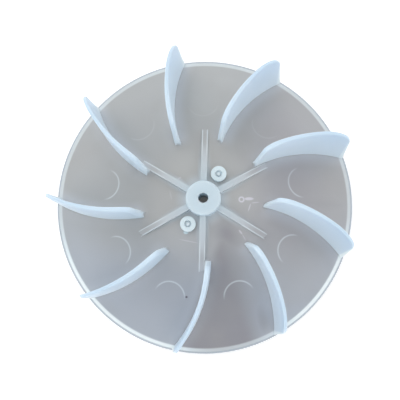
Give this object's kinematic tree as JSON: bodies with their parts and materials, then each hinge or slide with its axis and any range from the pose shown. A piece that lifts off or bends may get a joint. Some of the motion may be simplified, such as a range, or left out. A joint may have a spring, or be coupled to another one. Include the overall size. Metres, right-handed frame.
{
  "type": "centrifugal fan wheel",
  "caption": "one-piece moulded plastic blower wheel: domed back plate with turned-down rim, bored hub with gussets, and tall swept blades on the front",
  "frame": {"origin": "centre of the wheel on the plane of the rim's lower edge, on which the wheel lies", "axes": "+Z along the shaft axis, from the back of the wheel to the open ends of the blades"},
  "size_m": [0.15, 0.15, 0.046],
  "materials": {
    "milky_plastic": "satin, milky translucent polypropylene"
  },
  "bodies": {
    "root": {"fan_wheel": "milky_plastic"}
  },
  "joints": []
}
